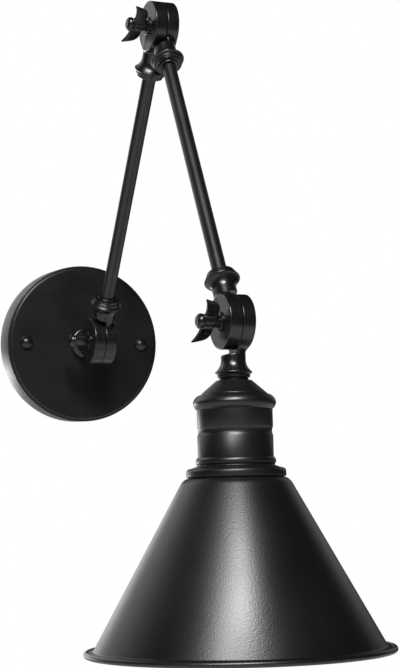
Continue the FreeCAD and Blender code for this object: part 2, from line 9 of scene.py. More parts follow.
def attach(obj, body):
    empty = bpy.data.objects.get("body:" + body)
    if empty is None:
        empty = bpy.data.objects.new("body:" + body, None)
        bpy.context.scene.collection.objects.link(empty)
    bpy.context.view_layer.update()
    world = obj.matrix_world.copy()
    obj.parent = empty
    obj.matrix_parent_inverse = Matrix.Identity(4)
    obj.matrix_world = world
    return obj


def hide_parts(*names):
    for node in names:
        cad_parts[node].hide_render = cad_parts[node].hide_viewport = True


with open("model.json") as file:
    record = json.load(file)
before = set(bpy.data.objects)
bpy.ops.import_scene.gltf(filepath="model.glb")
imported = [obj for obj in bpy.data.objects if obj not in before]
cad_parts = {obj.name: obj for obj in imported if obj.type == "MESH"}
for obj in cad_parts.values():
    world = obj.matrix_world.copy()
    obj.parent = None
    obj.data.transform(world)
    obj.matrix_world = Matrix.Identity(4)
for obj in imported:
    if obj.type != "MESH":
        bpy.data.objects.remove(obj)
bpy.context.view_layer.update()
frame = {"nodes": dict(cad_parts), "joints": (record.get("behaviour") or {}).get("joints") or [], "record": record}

# ---------------------------------------------------------------------------------------------------
# Camera. The viewpoint of the photograph: a long lens 1.2 m out from the wall, to the left of the lamp
# and a little below its wall swivel, so that the shade's rim is seen almost edge on.
# ---------------------------------------------------------------------------------------------------

MM = 0.001
CAMERA_PLACE = Vector((-405.5, -1238.4, -69.8)) * MM
CAMERA_YAW = math.radians(22.44)
CAMERA_PITCH = math.radians(3.44)
CAMERA_ROLL = math.radians(-0.19)
CAMERA_LENS = 89.56

camera = bpy.data.objects.new("camera", bpy.data.cameras.new("camera"))
camera.data.lens = CAMERA_LENS
camera.matrix_world = (Matrix.Translation(CAMERA_PLACE)
                       @ Matrix.Rotation(-CAMERA_YAW, 4, "Z")
                       @ Matrix.Rotation(math.pi / 2 + CAMERA_PITCH, 4, "X")
                       @ Matrix.Rotation(CAMERA_ROLL, 4, "Z"))
bpy.context.scene.collection.objects.link(camera)
bpy.context.scene.camera = camera

# ---------------------------------------------------------------------------------------------------
# Studio. A dark surround with bright patches behind the lamp and to the left of the camera, a soft box
# above the camera that draws the streak down the shade, and a pale matt floor well below.
# ---------------------------------------------------------------------------------------------------

FLOOR_HEIGHT = -0.62
FLOOR_RADIUS = 2.3
BASE_LIGHT = 0.006
# Each patch has its direction, the degrees at which it fades out, and its strength.
PATCHES = (
    ((-0.48, -0.68, 0.56), 10, 18.8), ((-0.40, -0.57, 0.72), 10, 18.8), ((-0.57, -0.61, 0.56), 10, 12.7),
    ((-0.08, -1.00, -0.01), 22, 0.35), ((-0.21, 0.91, -0.36), 22, 7.0), ((-0.10, 0.99, -0.06), 22, 1.25),
    ((0.04, 0.97, 0.24), 22, 1.25), ((-0.48, 0.82, 0.31), 22, 0.68), ((-0.59, 0.64, 0.49), 30, 0.6),
    ((-0.31, 0.73, 0.61), 22, 0.51), ((0.78, 0.56, 0.28), 22, 0.42))
SHADE_MIDDLE = Vector((0.0, -0.31, -0.12))
KEY_WAY = Vector((-0.23, -0.66, 0.72)).normalized()
KEY_DISTANCE = 2.3
KEY_SIZE = 0.46
KEY_WATTS = 43.0


def linear(code):
    """An sRGB hex value as the linear colour that Blender's sockets take."""
    parts = [int(code[i:i + 2], 16) / 255 for i in (1, 3, 5)]
    return tuple(p / 12.92 if p <= 0.04045 else ((p + 0.055) / 1.055) ** 2.4 for p in parts) + (1.0,)


def node(tree, kind, inputs=None, **settings):
    """Adds a shader node with its settings; each input takes a value or another node's output."""
    made = tree.nodes.new("ShaderNode" + kind)
    for name, value in settings.items():
        setattr(made, name, value)
    for name, value in (inputs or {}).items():
        if isinstance(value, bpy.types.NodeSocket):
            tree.links.new(value, made.inputs[name])
        else:
            made.inputs[name].default_value = value
    return made


def new_tree(owner):
    """An empty node tree on a new material or world."""
    owner.use_nodes = True
    owner.node_tree.nodes.clear()
    return owner.node_tree


def glow(tree, direction, reach, strength):
    """A soft bright patch of the surround, which fades out at some degrees from a direction."""
    ray = node(tree, "TexCoord").outputs["Generated"]
    facing = node(tree, "VectorMath", {0: ray, 1: Vector(direction).normalized()}, operation="DOT_PRODUCT")
    patch = node(tree, "MapRange", {"Value": facing.outputs["Value"],
                                    "From Min": math.cos(math.radians(reach)), "From Max": 1.0,
                                    "To Max": strength}, interpolation_type="SMOOTHSTEP")
    return patch.outputs["Result"]


bpy.context.scene.view_settings.view_transform = "Standard"
world = bpy.data.worlds.new("studio")
bpy.context.scene.world = world
surround = new_tree(world)
base_light = node(surround, "Value")
base_light.outputs[0].default_value = BASE_LIGHT
light_sum = base_light.outputs[0]
for direction, reach, strength in PATCHES:
    patch = glow(surround, direction, reach, strength)
    light_sum = node(surround, "Math", {0: light_sum, 1: patch}, operation="ADD").outputs[0]
seen_white = node(surround, "Background", {"Color": linear("#FFFFFF"), "Strength": 1.0})
lighting = node(surround, "Background", {"Color": linear("#FCFFFD"), "Strength": light_sum})
by_camera = node(surround, "LightPath").outputs["Is Camera Ray"]
mixed = node(surround, "MixShader", {0: by_camera, 1: lighting.outputs[0], 2: seen_white.outputs[0]})
node(surround, "OutputWorld", {"Surface": mixed.outputs[0]})


def soft_box(name, place, target, width, height, watts):
    """A rectangular studio light that points at a place on the lamp."""
    lamp = bpy.data.lights.new(name, "AREA")
    lamp.shape = "RECTANGLE"
    lamp.size = width
    lamp.size_y = height
    lamp.energy = watts
    box = bpy.data.objects.new(name, lamp)
    box.location = place
    box.rotation_mode = "QUATERNION"
    box.rotation_quaternion = (Vector(target) - Vector(place)).to_track_quat("-Z", "Y")
    bpy.context.scene.collection.objects.link(box)
    return box


soft_box("key_box", SHADE_MIDDLE + KEY_DISTANCE * KEY_WAY, SHADE_MIDDLE, KEY_SIZE, KEY_SIZE, KEY_WATTS)


def finish(material_name, build):
    """A new material whose node tree is drawn by a function that returns the shader's settings."""
    material = bpy.data.materials.new(material_name)
    tree = new_tree(material)
    shader = node(tree, "BsdfPrincipled", build(tree))
    node(tree, "OutputMaterial", {"Surface": shader.outputs[0]})
    return material


def grain(tree, size, detail=2.0, stretch=(1, 1, 1), roughness=0.5):
    """Noise whose grains are about a size in millimetres, drawn out along an axis if asked."""
    place = node(tree, "TexCoord").outputs["Object"]
    scaled = node(tree, "VectorMath", {0: place, 1: Vector(stretch)}, operation="MULTIPLY")
    return node(tree, "TexNoise", {"Vector": scaled.outputs[0], "Scale": 1 / (size * MM), "Detail": detail,
                                   "Roughness": roughness}).outputs["Fac"]


def spread(tree, value, low, high):
    """Maps noise to a range."""
    return node(tree, "MapRange", {"Value": value, "From Min": 0.3, "From Max": 0.7,
                                   "To Min": low, "To Max": high}).outputs["Result"]


def tint(tree, value, first, second):
    """Mixes two sRGB hex colours by noise."""
    share = spread(tree, value, 0.0, 1.0)
    mix = node(tree, "Mix", {"Factor": share, "A": linear(first), "B": linear(second)}, data_type="RGBA")
    return mix.outputs["Result"]


def bumps(tree, strength, depth, *heights):
    """Surface relief from one or more heights, each with its depth in millimetres."""
    normal = None
    for height in heights:
        inputs = {"Height": height, "Strength": strength, "Distance": depth * MM}
        if normal is not None:
            inputs["Normal"] = normal
        normal = node(tree, "Bump", inputs).outputs[0]
    return normal


floor_mesh = bpy.data.meshes.new("floor")
FLOOR_SIDES = 96
floor_ring = [(FLOOR_RADIUS * math.cos(a), FLOOR_RADIUS * math.sin(a), FLOOR_HEIGHT)
              for a in (2 * math.pi * i / FLOOR_SIDES for i in range(FLOOR_SIDES))]
floor_mesh.from_pydata(floor_ring, [], [range(FLOOR_SIDES)])
floor = bpy.data.objects.new("floor", floor_mesh)
bpy.context.scene.collection.objects.link(floor)


def pale_floor(tree):
    """Matt white laminate, with tone that drifts slightly over a hand's width."""
    drift = grain(tree, 120.0)
    return {"Base Color": tint(tree, drift, "#F4F4F2", "#EDEEEC"),
            "Roughness": spread(tree, drift, 0.55, 0.7)}


floor_mesh.materials.append(finish("pale_floor", pale_floor))

# ---------------------------------------------------------------------------------------------------
# Stations. The frame's joints and the socket's mount say where each piece stands; a piece is drawn in
# millimetres on its own upright axis and is then set at its station.
# ---------------------------------------------------------------------------------------------------

hinge = {joint["name"]: Vector(joint["pos_m"]) for joint in frame["joints"]}
mount = {m["name"]: m for m in frame["record"]["mounts"]}
wall_hinge, elbow_hinge, head_hinge = hinge["wall_swivel"], hinge["elbow_swivel"], hinge["head_swivel"]
ALONG_X = Vector((1, 0, 0))


def station(place, along):
    """A frame in millimetres with its Z along a direction and its X along the hinge axes."""
    axes = Matrix((ALONG_X, Vector(along).cross(ALONG_X), Vector(along))).transposed()
    return Matrix.Translation(place) @ axes.to_4x4() @ Matrix.Scale(MM, 4)


lower_way = (elbow_hinge - wall_hinge).normalized()
upper_way = (head_hinge - elbow_hinge).normalized()
head_way = Vector(mount["lamp_socket"]["axis"]).normalized()
at_wall = station((0, 0, 0), (0, -1, 0))
at_wall_stub = station(wall_hinge, (0, 1, 0))
at_lower_base = station(wall_hinge, lower_way)
at_lower_top = station(elbow_hinge, -lower_way)
at_upper_base = station(elbow_hinge, upper_way)
at_upper_top = station(head_hinge, -upper_way)
at_head = station(head_hinge, head_way)


def piece(name, mesh, place, body, *replaced, slot):
    """Puts a mesh at its station as a piece that rides a body and stands for its CAD nodes."""
    made = bpy.data.objects.new(name, mesh)
    made.matrix_world = Matrix.Identity(4)
    mesh.transform(place)
    bpy.context.scene.collection.objects.link(made)
    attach(made, body)
    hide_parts(*replaced)
    return made


def recoat(material, *names):
    """Gives CAD nodes that keep their own mesh a material."""
    for name in names:
        slots = frame["nodes"][name].data.materials
        slots.clear()
        slots.append(material)


# ---------------------------------------------------------------------------------------------------
# Mounting bar. A 2 mm steel strap, blanked and slotted on a press and zinc plated bright, screwed to
# the wall box; its studs, lock nuts and the canopy's inside hang on it.
# ---------------------------------------------------------------------------------------------------

def zinc_plate(tree):
    """Bright zinc: a hard metal gleam broken up by faint spangle and by rolling marks along the strap."""
    spangle = grain(tree, 6.0, detail=3.0)
    rolling = grain(tree, 1.2, stretch=(0.05, 1, 1))
    return {"Base Color": tint(tree, spangle, "#B9BCBE", "#C9CAC6"), "Metallic": 1.0,
            "Roughness": spread(tree, rolling, 0.24, 0.40), "Normal": bumps(tree, 0.25, 0.02, rolling)}


zinc = finish("zinc_plated_steel", zinc_plate)
recoat(zinc, "mounting_bar", "stud_nuts")


def green_zinc(tree):
    """Green chromate over zinc, which marks the screw for the earth wire."""
    cloud = grain(tree, 1.5)
    return {"Base Color": tint(tree, cloud, "#1F7A3C", "#2E8F4B"), "Metallic": 0.85,
            "Roughness": spread(tree, cloud, 0.28, 0.42)}


recoat(finish("green_chromate", green_zinc), "ground_screw")

# ---------------------------------------------------------------------------------------------------
# Studs. Two M4 screws of zinc-plated steel, rolled thread from end to end, that stand out of the bar
# through the canopy into the domed nuts.
# ---------------------------------------------------------------------------------------------------

STUD_OFFSET = 46.0
STUD_RADIUS = 2.0
STUD_TIP = 25.2
STUD_PITCH = 0.7


def skin(name, rows, material, loop=True, angle=40.0):
    """A smooth-shaded sheet through rows of points, closed round each row."""
    rows = np.array(rows, float)
    count, sides = rows.shape[:2]
    mesh = bpy.data.meshes.new(name)
    faces = [(i * sides + j, i * sides + (j + 1) % sides, (i + 1) * sides + (j + 1) % sides,
              (i + 1) * sides + j) for i in range(count - 1) for j in range(sides)]
    if loop:
        faces += [((count - 1) * sides + j, (count - 1) * sides + (j + 1) % sides, (j + 1) % sides, j)
                  for j in range(sides)]
    mesh.from_pydata(rows.reshape(-1, 3).tolist(), [], faces)
    mesh.validate()
    mesh.shade_smooth()
    mesh.set_sharp_from_angle(angle=math.radians(angle))
    mesh.materials.append(material)
    return mesh


def thread(name, radius, bore, low, high, pitch, material, depth=None, sides=40, per_turn=8):
    """A threaded bar or tube: one start, with its flanks rounded as rolling leaves them."""
    depth = depth or 0.6 * pitch
    heights = np.arange(low, high + 1e-6, pitch / per_turn)
    angles = 2 * np.pi * np.arange(sides) / sides
    phase = heights[:, None] / pitch - angles[None] / (2 * np.pi)
    runout = np.clip(np.minimum(heights - low, high - heights) / pitch, 0, 1)[:, None]
    crest = 0.5 + 0.5 * np.cos(2 * np.pi * phase)
    outer = radius - depth * (1 - crest * (0.3 + 0.7 * runout))
    rows = [circle(r, z, angles) for r, z in zip(outer, heights)]
    if bore:
        rows += [circle(bore, high, angles), circle(bore, low, angles)]
    else:
        rows = [circle(1e-3, low, angles)] + rows + [circle(1e-3, high, angles)]
    return skin(name, rows, material, loop=bool(bore))


def circle(radius, height, angles):
    """One row of points round the axis; the radius may vary round it."""
    return np.stack([radius * np.cos(angles), radius * np.sin(angles), np.full(len(angles), height)], 1)


for side, word in ((-1, "left"), (1, "right")):
    stud = thread(f"stud_{word}", STUD_RADIUS, 0, 0.0, STUD_TIP, STUD_PITCH, zinc, sides=24)
    stud.transform(Matrix.Translation((side * STUD_OFFSET, 0, 0)))
    piece(f"stud_{word}", stud, at_wall, "wall_plate", "mounting_studs", slot="zinc_plated_steel")

# ---------------------------------------------------------------------------------------------------
# Canopy. A cover spun from 1.2 mm steel sheet, open at the back, with a step round its flat face, and
# powder coated satin black like the tubes, cup and collar.
# ---------------------------------------------------------------------------------------------------

CANOPY_RADIUS = 60.0
CANOPY_DEPTH = 22.0
CANOPY_WALL = 1.2
CANOPY_LEDGE = 1.5
CANOPY_STEP = 1.5
CAP_NUT_RADIUS = 4.9
CAP_NUT_HEIGHT = 5.0
NIPPLE_HOLE = 4.9


def arc_centre(a, b, c):
    """Centre and radius of the circle through three points."""
    (ax, ay), (bx, by), (cx, cy) = a, b, c
    d = 2 * (ax * (by - cy) + bx * (cy - ay) + cx * (ay - by))
    aa, bb, cc = ax ** 2 + ay ** 2, bx ** 2 + by ** 2, cx ** 2 + cy ** 2
    x = (aa * (by - cy) + bb * (cy - ay) + cc * (ay - by)) / d
    y = (aa * (cx - bx) + bb * (ax - cx) + cc * (bx - ax)) / d
    return x, y, math.hypot(ax - x, ay - y)


def outline(start, *steps, fine=0.35):
    """Points along a turned piece's section; a step is an end point, or a point on an arc and its end."""
    points = [start]
    for step in steps:
        here = points[-1]
        if not isinstance(step[0], tuple):
            points.append(step)
            continue
        through, end = step
        x, y, radius = arc_centre(here, through, end)
        first = math.atan2(here[1] - y, here[0] - x)
        middle = (math.atan2(through[1] - y, through[0] - x) - first) % (2 * math.pi)
        sweep = (math.atan2(end[1] - y, end[0] - x) - first) % (2 * math.pi)
        if middle > sweep:
            sweep -= 2 * math.pi
        count = max(4, math.ceil(abs(sweep) * radius / fine))
        points += [(x + radius * math.cos(first + sweep * i / count),
                    y + radius * math.sin(first + sweep * i / count)) for i in range(1, count + 1)]
    return points


def rounded(corner, before, after):
    """Steps of an outline that round a square corner, from a point before it to one after it."""
    cut = 1 - math.sqrt(0.5)
    through = tuple(c + cut * ((b - c) + (a - c)) for c, b, a in zip(corner, before, after))
    return before, (through, after)


def turned(name, material, start, *steps, sides=128, fine=0.35):
    """A piece turned or spun about its axis from its closed section."""
    angles = 2 * np.pi * np.arange(sides) / sides
    rows = [circle(max(r, 1e-3), z, angles) for r, z in outline(start, *steps, start, fine=fine)[:-1]]
    return skin(name, rows, material, angle=28.0)


def powder_coat(tree):
    """Satin black powder coat: nearly black, with the soft pebble that the powder leaves as it melts."""
    pebble = grain(tree, 1.1, detail=3.0)
    drift = grain(tree, 35.0)
    return {"Base Color": tint(tree, drift, "#0C0D0D", "#111312"), "IOR": 1.5,
            "Roughness": spread(tree, drift, 0.32, 0.40), "Normal": bumps(tree, 0.6, 0.03, pebble)}


satin_black = finish("black_powder_coat", powder_coat)
face = CANOPY_DEPTH
ledge = face - CANOPY_STEP
step_radius = CANOPY_RADIUS - CANOPY_LEDGE
cover = turned(
    "canopy", satin_black, (CANOPY_RADIUS, 0),
    *rounded((CANOPY_RADIUS, ledge), (CANOPY_RADIUS, ledge - 0.5), (CANOPY_RADIUS - 0.5, ledge)),
    *rounded((step_radius, ledge), (step_radius + 0.2, ledge), (step_radius, ledge + 0.2)),
    *rounded((step_radius, face), (step_radius, face - 1.3), (step_radius - 1.3, face)),
    (NIPPLE_HOLE, face), (NIPPLE_HOLE, face - CANOPY_WALL),
    (step_radius - CANOPY_WALL - 0.4, face - CANOPY_WALL),
    (step_radius - CANOPY_WALL, face - CANOPY_WALL - 0.4),
    (step_radius - CANOPY_WALL, ledge - CANOPY_WALL), (CANOPY_RADIUS - CANOPY_WALL, ledge - CANOPY_WALL),
    (CANOPY_RADIUS - CANOPY_WALL, 0), sides=256, fine=0.2)
piece("canopy_spun", cover, at_wall, "wall_plate", "canopy", slot="black_powder_coat")

# ---------------------------------------------------------------------------------------------------
# Cap nuts. Two blind M4 nuts turned from brass bar, with a short foot under a round dome, and coated
# with the canopy that they clamp.
# ---------------------------------------------------------------------------------------------------

dome_centre = arc_centre((CAP_NUT_RADIUS, 1.1), (0, CAP_NUT_HEIGHT), (-CAP_NUT_RADIUS, 1.1))
dome_middle = math.sqrt(0.5) * CAP_NUT_RADIUS
dome_height = dome_centre[1] + math.sqrt(dome_centre[2] ** 2 - dome_middle ** 2)
for side, word in ((-1, "left"), (1, "right")):
    nut = turned(f"cap_nut_{word}", satin_black, (0, 0), (CAP_NUT_RADIUS - 0.2, 0), (CAP_NUT_RADIUS, 0.2),
                 (CAP_NUT_RADIUS, 1.0), ((dome_middle, dome_height), (0, CAP_NUT_HEIGHT)), sides=64)
    nut.transform(Matrix.Translation((side * STUD_OFFSET, 0, CANOPY_DEPTH)))
    piece(f"cap_nut_{word}", nut, at_wall, "wall_plate", "cap_nuts", slot="black_powder_coat")

# ---------------------------------------------------------------------------------------------------
# Swivel knuckles. Six halves die-cast in zinc alloy from one pattern: a drum disc to one side, a stem on
# the parting plane, and a turned bell with a lip and steps. Coated glossier than the sheet metal.
# ---------------------------------------------------------------------------------------------------

DRUM_RADIUS = 17.1
DISC_WIDTH = 8.5
DISC_EDGE = 0.8
DISC_GAP = 0.3
SHELF_RADIUS = 20.3
SHELF_EDGE = 1.6
NECK_RADIUS = 7.6
NECK_END = 23.2
LIP_RADIUS = 11.4
LIP_DISTANCE = 31.0
STEP_RADIUS = 10.05
STEP_DISTANCE = 34.2
SEAT_RADIUS = 8.9
STEM_LENGTH = 36.0
SOCKET_FLOOR = 22.5
TUBE_RADIUS = 4.75
TUBE_BOSS_RADIUS = 7.0
TUBE_BOSS_HEIGHT = 1.3
SHANK_HOLE = 3.2
CAST_FILLET = 2.4
CAST_CELL = 0.36


def from_section(points, section):
    """Distance of points in a half plane from a closed section, negative inside it."""
    best = np.full(len(points), 1e9)
    inside = np.zeros(len(points), bool)
    for a, b in zip(section, section[1:] + section[:1]):
        a, b = np.array(a), np.array(b)
        edge, gap = b - a, points - a
        share = np.clip((gap @ edge) / (edge @ edge), 0, 1)
        best = np.minimum(best, ((gap - share[:, None] * edge) ** 2).sum(1))
        crosses = (a[1] > points[:, 1]) != (b[1] > points[:, 1])
        reach = a[0] + (points[:, 1] - a[1]) * edge[0] / (edge[1] or 1e-12)
        inside ^= crosses & (points[:, 0] < reach)
    return np.where(inside, -1, 1) * np.sqrt(best)


def melt(a, b, blend):
    """Union of two distances with a fillet where the surfaces meet."""
    share = np.clip(0.5 + 0.5 * (b - a) / blend, 0, 1)
    return b * (1 - share) + a * share - blend * share * (1 - share)


def carve(a, b, blend):
    """What is left of the first distance when the second is cut out of it, with a rounded edge."""
    return -melt(-a, b, blend)


def cast(name, distance, low, high, cell, material):
    """Skins a solid that is given by its distance, with its normals taken from that distance too."""
    axes = [np.arange(a, b + cell, cell) for a, b in zip(low, high)]
    grid = np.stack(np.meshgrid(*axes, indexing="ij"), -1)
    solid = distance(grid.reshape(-1, 3)).reshape(grid.shape[:3]) < 0
    cells = tuple(n - 1 for n in solid.shape)
    corners = sum(solid[i:i + cells[0], j:j + cells[1], k:k + cells[2]].astype(int)
                  for i in (0, 1) for j in (0, 1) for k in (0, 1))
    crossed = (corners > 0) & (corners < 8)
    number = np.full(cells, -1)
    number[crossed] = np.arange(crossed.sum())
    points = grid[:-1, :-1, :-1][crossed] + cell / 2

    def slope(at):
        step = 0.02
        rises = [distance(at + step * e) - distance(at - step * e) for e in np.eye(3)]
        return np.stack(rises, 1) / (2 * step)

    for _ in range(5):
        lean = slope(points)
        move = distance(points)[:, None] * lean / np.maximum((lean ** 2).sum(1), 0.2)[:, None]
        points = points - np.clip(move, -0.5 * cell, 0.5 * cell)
    faces = []
    for axis in range(3):
        b, c = (axis + 1) % 3, (axis + 2) % 3
        first = np.moveaxis(solid, (axis, b, c), (0, 1, 2))
        ids = np.moveaxis(number, (axis, b, c), (0, 1, 2))
        start, end = first[:-1, 1:-1, 1:-1], first[1:, 1:-1, 1:-1]
        quad = np.stack([ids[:, :-1, :-1], ids[:, 1:, :-1], ids[:, 1:, 1:], ids[:, :-1, 1:]], -1)
        faces.append(quad[start & ~end])
        faces.append(quad[end & ~start][:, ::-1])
    mesh = bpy.data.meshes.new(name)
    mesh.from_pydata(points.tolist(), [], np.concatenate(faces).tolist())
    mesh.shade_smooth()
    normals = slope(points)
    normals /= np.linalg.norm(normals, axis=1)[:, None]
    mesh.normals_split_custom_set_from_vertices(normals.tolist())
    mesh.materials.append(material)
    return mesh


def drum_and_neck(side):
    """Distance of one half's drum disc and neck, cut back for the other disc to swing in."""
    face = DISC_GAP / 2
    disc = outline((0, face), (DRUM_RADIUS - 0.3, face), (DRUM_RADIUS, face + 0.3),
                   *rounded((DRUM_RADIUS, DISC_WIDTH), (DRUM_RADIUS, DISC_WIDTH - DISC_EDGE),
                            (DRUM_RADIUS - DISC_EDGE, DISC_WIDTH)), (0, DISC_WIDTH))
    neck = [(0, 0), (NECK_RADIUS, 0), (NECK_RADIUS, NECK_END), (NECK_RADIUS - 0.1, NECK_END + 0.6),
            (NECK_RADIUS - 0.1, NECK_END + 1.2), (0, NECK_END + 1.2)]

    def distance(at):
        x, y, z = at[:, 0] * side, at[:, 1], at[:, 2]
        round_hinge = np.hypot(y, z)
        drum = from_section(np.stack([round_hinge, x], 1), disc)
        stem = from_section(np.stack([np.hypot(x, y), z], 1), neck)
        swing = np.maximum(round_hinge - SHELF_RADIUS, x - face)
        body = melt(drum, carve(stem, swing, SHELF_EDGE), CAST_FILLET)
        body = np.maximum(body, np.minimum(face - x, SHELF_RADIUS - round_hinge))
        if side < 0:
            body = carve(body, round_hinge - SHANK_HOLE, 0.3)
        return body

    return distance


def cast_zinc(tree):
    """Die-cast zinc under gloss black: a harder shine than the powder, over faint linishing marks."""
    linish = grain(tree, 9.0, detail=4.0, stretch=(22, 1, 1))
    skin_pits = grain(tree, 2.2, detail=3.0)
    return {"Base Color": tint(tree, skin_pits, "#0B0C0C", "#101211"), "IOR": 1.52,
            "Roughness": spread(tree, linish, 0.22, 0.33),
            "Normal": bumps(tree, 0.35, 0.03, linish, skin_pits)}


gloss_black = finish("black_cast_zinc", cast_zinc)
half_reach = DRUM_RADIUS + 1.0
half_body = {}
for side, word in ((-1, "left"), (1, "right")):
    low, high = (-half_reach, -half_reach, -half_reach), (half_reach, half_reach, NECK_END + 2.0)
    half_body[side] = cast(f"half_{word}", drum_and_neck(side), low, high, CAST_CELL, gloss_black)


def bell(name, bore, boss):
    """The stem's turned end: a flare to a lip, two steps, the seat and, round a tube, a small boss."""
    lip, step, rim = LIP_DISTANCE, STEP_DISTANCE, TUBE_BOSS_RADIUS
    top = STEM_LENGTH + TUBE_BOSS_HEIGHT
    boss_steps = [(rim, STEM_LENGTH), *rounded((rim, top), (rim, top - 0.6), (rim - 0.6, top)), (bore, top)]
    return turned(
        name, gloss_black, (bore, NECK_END), (NECK_RADIUS, NECK_END),
        ((NECK_RADIUS + 0.75, NECK_END + 3.7), (LIP_RADIUS - 1.3, lip - 1.5)),
        ((LIP_RADIUS - 0.95, lip - 1.0), (LIP_RADIUS - 0.45, lip - 0.7)),
        ((LIP_RADIUS, lip), (LIP_RADIUS - 0.35, lip + 0.6)),
        ((STEP_RADIUS + 0.3, lip + 1.05), (STEP_RADIUS, lip + 1.5)),
        *rounded((STEP_RADIUS, step), (STEP_RADIUS, step - 0.6), (STEP_RADIUS - 0.6, step)),
        ((SEAT_RADIUS + 0.1, step + 0.1), (SEAT_RADIUS, step + 0.4)), (SEAT_RADIUS, STEM_LENGTH),
        *(boss_steps if boss else [(bore, STEM_LENGTH)]), sides=144, fine=0.25)


def joined(name, *meshes):
    """One mesh out of several, with their own normals kept."""
    parts = []
    for mesh in meshes:
        part = bpy.data.objects.new(name, mesh.copy())
        bpy.context.scene.collection.objects.link(part)
        parts.append(part)
    with bpy.context.temp_override(active_object=parts[0], selected_editable_objects=parts):
        bpy.ops.object.join()
    mesh = parts[0].data
    bpy.data.objects.remove(parts[0])
    return mesh


for name, body, side, has_boss, place in (
        ("wall_knuckle", "wall_plate", -1, False, at_wall_stub),
        ("lower_arm_base_knuckle", "lower_arm", 1, True, at_lower_base),
        ("lower_arm_elbow_knuckle", "lower_arm", -1, True, at_lower_top),
        ("upper_arm_elbow_knuckle", "upper_arm", 1, True, at_upper_base),
        ("upper_arm_head_knuckle", "upper_arm", -1, True, at_upper_top),
        ("head_knuckle", "lamp_head", 1, False, at_head)):
    whole = joined(name, half_body[side], bell(name, TUBE_RADIUS, has_boss))
    piece(name + "_cast", whole, place, body, name, slot="black_cast_zinc")

# ---------------------------------------------------------------------------------------------------
# Nipples and their nuts. Hollow M10 x 1 threaded studs of plated steel carry the end knuckles; the wires
# run through them, and a tooth washer and a lock nut hold each one from the inside.
# ---------------------------------------------------------------------------------------------------

NIPPLE_PITCH = 1.0
WIRE_BORE_RADIUS = 3.5
WALL_NIPPLE_END = STEM_LENGTH + CANOPY_WALL + 7.0
HEAD_NIPPLE_END = 44.6

recoat(zinc, "wall_tooth_washer", "wall_lock_nut", "head_lock_nut")
for name, body, end, place in (("wall_nipple", "wall_plate", WALL_NIPPLE_END, at_wall_stub),
                               ("head_nipple", "lamp_head", HEAD_NIPPLE_END, at_head)):
    mesh = thread(name, TUBE_RADIUS, WIRE_BORE_RADIUS, SOCKET_FLOOR, end, NIPPLE_PITCH, zinc, sides=48)
    piece(name + "_thread", mesh, place, body, name, slot="zinc_plated_steel")

# ---------------------------------------------------------------------------------------------------
# Friction rings. Washers punched from red vulcanised fibre sheet, one in a groove of each right half,
# that rub on the left half and hold the arms where they are put.
# ---------------------------------------------------------------------------------------------------

def fibre(tree):
    """Pressed cotton fibre: a dull brick red, mottled, with the nap that punching raises."""
    nap = grain(tree, 0.7, detail=4.0)
    return {"Base Color": tint(tree, nap, "#6B2119", "#8A3325"), "Roughness": spread(tree, nap, 0.62, 0.8),
            "Normal": bumps(tree, 0.5, 0.05, nap)}


recoat(finish("vulcanised_fibre", fibre), "wall_friction_ring", "elbow_friction_ring", "head_friction_ring")

# ---------------------------------------------------------------------------------------------------
# Wing screws. Cast in one with two ears that sweep up and outwards from the barrel and thin towards
# their tips, under a button end; a flat washer keeps each off the drum. Coated gloss black.
# ---------------------------------------------------------------------------------------------------

RING_SLACK = 0.05
SCREW_SEAT = DISC_WIDTH + RING_SLACK + 1.0
THREAD_RADIUS = 2.9
SCREW_TIP = -6.8
BARREL_RADIUS = 3.9
BARREL_END = 19.5
BUTTON_RADIUS = 4.8
BUTTON_END = 23.8
WING_BEND = (14.1, 11.45)
WING_TIP = (17.6, 22.75)
WING_HOLLOW = (10.5, 20.15)
WING_ROOT = (2.0, 19.75)
WING_TURN = {"wall": 80.0, "elbow": 60.0, "head": 45.0}
WING_CELL = 0.3


def past_line(at, a, b):
    """How far points are past a line, on its right as one goes from a to b."""
    run = np.array(b) - np.array(a)
    return ((at - np.array(a)) @ np.array([run[1], -run[0]])) / np.linalg.norm(run)


def wing_screw(at):
    """Distance of the screw, with its axis along X and its head towards -X."""
    out, across, along = -at[:, 0], at[:, 1], at[:, 2]
    turned_body = outline(
        (0, SCREW_TIP), (THREAD_RADIUS - 0.6, SCREW_TIP), (THREAD_RADIUS, SCREW_TIP + 0.6),
        (THREAD_RADIUS, SCREW_SEAT), (BARREL_RADIUS, SCREW_SEAT), (BARREL_RADIUS, BARREL_END),
        ((BUTTON_RADIUS - 0.2, BARREL_END + 0.5), (BUTTON_RADIUS, BARREL_END + 1.2)),
        (BUTTON_RADIUS, BUTTON_END - 2.2),
        ((BUTTON_RADIUS - 0.8, BUTTON_END - 0.75), (BUTTON_RADIUS - 2.8, BUTTON_END)), (0, BUTTON_END))
    barrel = from_section(np.stack([np.hypot(across, along), out], 1), turned_body)
    reach = np.abs(along)
    flat = np.stack([reach, out], 1)
    under = past_line(flat, (WING_ROOT[0], WING_BEND[1]), WING_BEND)
    edge = past_line(flat, WING_BEND, WING_TIP)
    x, y, radius = arc_centre(WING_TIP, WING_HOLLOW, WING_ROOT)
    ear = carve(carve(under, -edge, 5.0), np.hypot(reach - x, out - y) - radius, 0.8)
    thickness = 1.35 - 0.025 * reach
    ear = carve(ear, thickness - np.abs(across), 1.0)
    return melt(barrel, ear, 1.6)


